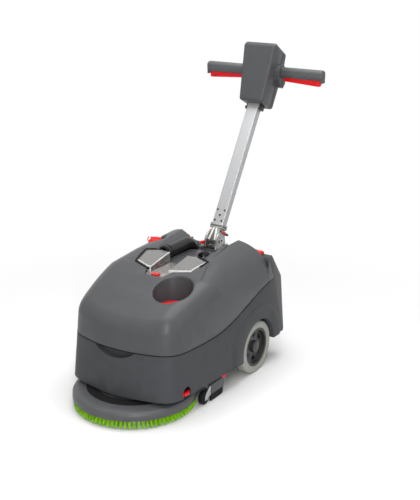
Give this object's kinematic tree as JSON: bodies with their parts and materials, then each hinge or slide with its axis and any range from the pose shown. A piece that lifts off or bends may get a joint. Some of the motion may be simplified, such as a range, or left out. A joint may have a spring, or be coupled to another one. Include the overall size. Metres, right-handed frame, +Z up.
{
  "type": "wet dry floor scrubber",
  "caption": "Compact walk-behind floor scrubber with a disc brush, wrap-round squeegee, lift-off tank with clear lid, wheels and a folding handle column.",
  "frame": {"origin": "on the floor, under the middle of the machine's overall box", "axes": "+Z up, +Y towards the operator, +X towards the side with the cup recess"},
  "size_m": [0.486, 1.0851, 1.0966],
  "materials": {
    "body_grey": "moulded, fine satin grain",
    "deck_grey": "moulded, dark satin",
    "black_plastic": "moulded, satin",
    "panel_black": "smooth film",
    "red_plastic": "moulded, glossy",
    "lime_bristle": "nylon filaments",
    "white_bristle": "nylon filaments",
    "column_alloy": "satin anodised extrusion",
    "zinc_casting": "cast and tumbled",
    "steel": "zinc plated",
    "frame_alloy": "painted dark grey",
    "motor_steel": "painted black",
    "gear_plastic": "natural nylon",
    "tyre_rubber": "non-marking grey rubber",
    "black_rubber": "moulded",
    "clear_lid": "smoky clear plastic",
    "board_green": "coated circuit board"
  },
  "bodies": {
    "chassis": {"lower_body": "body_grey", "rear_housing": "body_grey", "chassis_frame": "frame_alloy", "axle": "steel", "column_base": "zinc_casting", "base_bolts": "steel", "control_board": "board_green", "vacuum_motor": "black_plastic", "suction_hose": "black_plastic"},
    "battery": {"battery_pack": "black_plastic"},
    "vacuum_rotor": {"vacuum_fan": "frame_alloy"},
    "release_left": {"brush_release_left": "red_plastic"},
    "release_right": {"brush_release_right": "red_plastic"},
    "deck": {"deck_housing": "deck_grey", "gear_case": "black_plastic", "brush_motor": "motor_steel"},
    "pinion": {"motor_pinion": "steel"},
    "brush": {"drive_gear": "gear_plastic", "drive_spindle": "red_plastic", "brush_back": "red_plastic", "bristles_outer": "lime_bristle", "bristles_inner": "white_bristle"},
    "tank": {"water_tank": "body_grey", "dirty_water_tub": "black_plastic", "lid_seal": "black_rubber", "filler_neck": "black_plastic", "cap_strap": "red_plastic"},
    "lid": {"separator_lid": "clear_lid", "suction_elbow": "black_plastic", "float_cage": "black_plastic"},
    "float": {"float_ball": "red_plastic"},
    "lid_tab": {"lid_latch": "red_plastic"},
    "plug": {"drain_plug": "red_plastic"},
    "cap": {"filler_cap": "red_plastic"},
    "tank_clip_left": {"tank_latch_left": "red_plastic"},
    "tank_clip_right": {"tank_latch_right": "red_plastic"},
    "column": {"column_tube": "column_alloy", "column_foot": "zinc_casting", "pivot_pin": "steel", "tube_screws": "steel", "head_front": "body_grey", "head_rear": "body_grey", "control_panel": "panel_black", "handle_bar": "steel", "hand_grips": "deck_grey"},
    "plunger": {"latch_plunger": "red_plastic"},
    "lever": {"fold_lever": "red_plastic"},
    "left_trigger": {"trigger_left": "red_plastic"},
    "right_trigger": {"trigger_right": "red_plastic"},
    "power_key": {"power_button": "red_plastic"},
    "flow_key": {"flow_button": "deck_grey"},
    "wheel_left": {"tyre_left": "tyre_rubber", "hub_left": "deck_grey"},
    "wheel_right": {"tyre_right": "tyre_rubber", "hub_right": "deck_grey"},
    "squeegee": {"squeegee_body": "deck_grey", "squeegee_blades": "black_rubber", "caster_forks": "steel"},
    "guide_left": {"caster_left": "black_rubber"},
    "guide_right": {"caster_right": "black_rubber"}
  },
  "joints": [
    {"name": "left_wheel_roll", "type": "hinge", "parent": "chassis", "child": "wheel_left", "pos_m": [-0.204, 0.0755, 0.095], "axis": [1, 0, 0], "continuous": true},
    {"name": "right_wheel_roll", "type": "hinge", "parent": "chassis", "child": "wheel_right", "pos_m": [0.204, 0.0755, 0.095], "axis": [1, 0, 0], "continuous": true},
    {"name": "deck_float", "type": "hinge", "parent": "chassis", "child": "deck", "pos_m": [0, -0.1045, 0.09], "axis": [1, 0, 0], "range_deg": [0, 2]},
    {"name": "brush_spin", "type": "hinge", "parent": "deck", "child": "brush", "pos_m": [0, -0.3365, 0.05], "axis": [0, 0, 1], "continuous": true},
    {"name": "pinion_spin", "type": "hinge", "parent": "deck", "child": "pinion", "pos_m": [0, -0.2615, 0.08], "axis": [0, 0, 1], "continuous": true},
    {"name": "squeegee_lift", "type": "hinge", "parent": "chassis", "child": "squeegee", "pos_m": [0, -0.0015, 0.1], "axis": [-1, 0, 0], "range_deg": [0, 2]},
    {"name": "left_guide_roll", "type": "hinge", "parent": "squeegee", "child": "guide_left", "pos_m": [-0.204, -0.2325, 0.024], "axis": [1, 0, 0], "continuous": true},
    {"name": "right_guide_roll", "type": "hinge", "parent": "squeegee", "child": "guide_right", "pos_m": [0.204, -0.2325, 0.024], "axis": [1, 0, 0], "continuous": true},
    {"name": "tank_lift", "type": "slide", "parent": "chassis", "child": "tank", "axis": [0, -0.5, 0.866], "range_m": [0, 0.15]},
    {"name": "lid_lift", "type": "slide", "parent": "tank", "child": "lid", "axis": [0, 0, 1], "range_m": [0, 0.1]},
    {"name": "float_rise", "type": "slide", "parent": "lid", "child": "float", "axis": [0, 0, 1], "range_m": [0, 0.008]},
    {"name": "lid_tab_raise", "type": "hinge", "parent": "lid", "child": "lid_tab", "pos_m": [0, -0.20335, 0.40815], "axis": [-1, 0, 0], "range_deg": [0, 40]},
    {"name": "drain_plug_pull", "type": "slide", "parent": "tank", "child": "plug", "axis": [0, 0, 1], "range_m": [0, 0.03]},
    {"name": "filler_cap_turn", "type": "hinge", "parent": "tank", "child": "cap", "pos_m": [-0.172, 0.0305, 0.426], "axis": [0, 0, 1], "range_deg": [0, 270]},
    {"name": "left_clip_open", "type": "hinge", "parent": "chassis", "child": "tank_clip_left", "pos_m": [-0.135, 0.1795, 0.408], "axis": [-1, 0, 0], "range_deg": [0, 75]},
    {"name": "right_clip_open", "type": "hinge", "parent": "chassis", "child": "tank_clip_right", "pos_m": [0.135, 0.1795, 0.408], "axis": [-1, 0, 0], "range_deg": [0, 75]},
    {"name": "column_fold", "type": "hinge", "parent": "chassis", "child": "column", "pos_m": [0, 0.1515, 0.432], "axis": [-1, 0, 0], "range_deg": [-118, 0]},
    {"name": "plunger_pull", "type": "slide", "parent": "column", "child": "plunger", "axis": [0, -0.5225, -0.8526], "range_m": [0, 0.004], "stiffness_N_per_m": 600},
    {"name": "fold_lever_raise", "type": "hinge", "parent": "chassis", "child": "lever", "pos_m": [-0.0305, 0.1375, 0.422], "axis": [-1, 0, 0], "range_deg": [0, 25], "stiffness_Nm_per_rad": 0.4},
    {"name": "left_trigger_squeeze", "type": "hinge", "parent": "column", "child": "left_trigger", "pos_m": [-0.09, 0.4885, 0.96665], "axis": [0, 1, 0], "range_deg": [0, 2.6], "stiffness_Nm_per_rad": 2},
    {"name": "right_trigger_squeeze", "type": "hinge", "parent": "column", "child": "right_trigger", "pos_m": [0.09, 0.4885, 0.96665], "axis": [0, -1, 0], "range_deg": [0, 2.6], "stiffness_Nm_per_rad": 2},
    {"name": "power_key_press", "type": "slide", "parent": "column", "child": "power_key", "axis": [0, -0.5145, -0.8575], "range_m": [0, 0.0025], "stiffness_N_per_m": 400},
    {"name": "flow_key_press", "type": "slide", "parent": "column", "child": "flow_key", "axis": [0, -0.5145, -0.8575], "range_m": [0, 0.0025], "stiffness_N_per_m": 400},
    {"name": "battery_slide", "type": "slide", "parent": "chassis", "child": "battery", "axis": [0, 1, 0], "range_m": [0, 0.16]},
    {"name": "vacuum_spin", "type": "hinge", "parent": "chassis", "child": "vacuum_rotor", "pos_m": [-0.097, 0.2085, 0.162], "axis": [0, 0, 1], "continuous": true},
    {"name": "left_release_push", "type": "slide", "parent": "chassis", "child": "release_left", "axis": [0.9962, 0.0872, 0], "range_m": [0, 0.005], "stiffness_N_per_m": 400},
    {"name": "right_release_push", "type": "slide", "parent": "chassis", "child": "release_right", "axis": [-0.9962, 0.0872, 0], "range_m": [0, 0.005], "stiffness_N_per_m": 400}
  ],
  "couplings": [
    {"joint": "pinion_spin", "follows": "brush_spin", "ratio": -4}
  ]
}
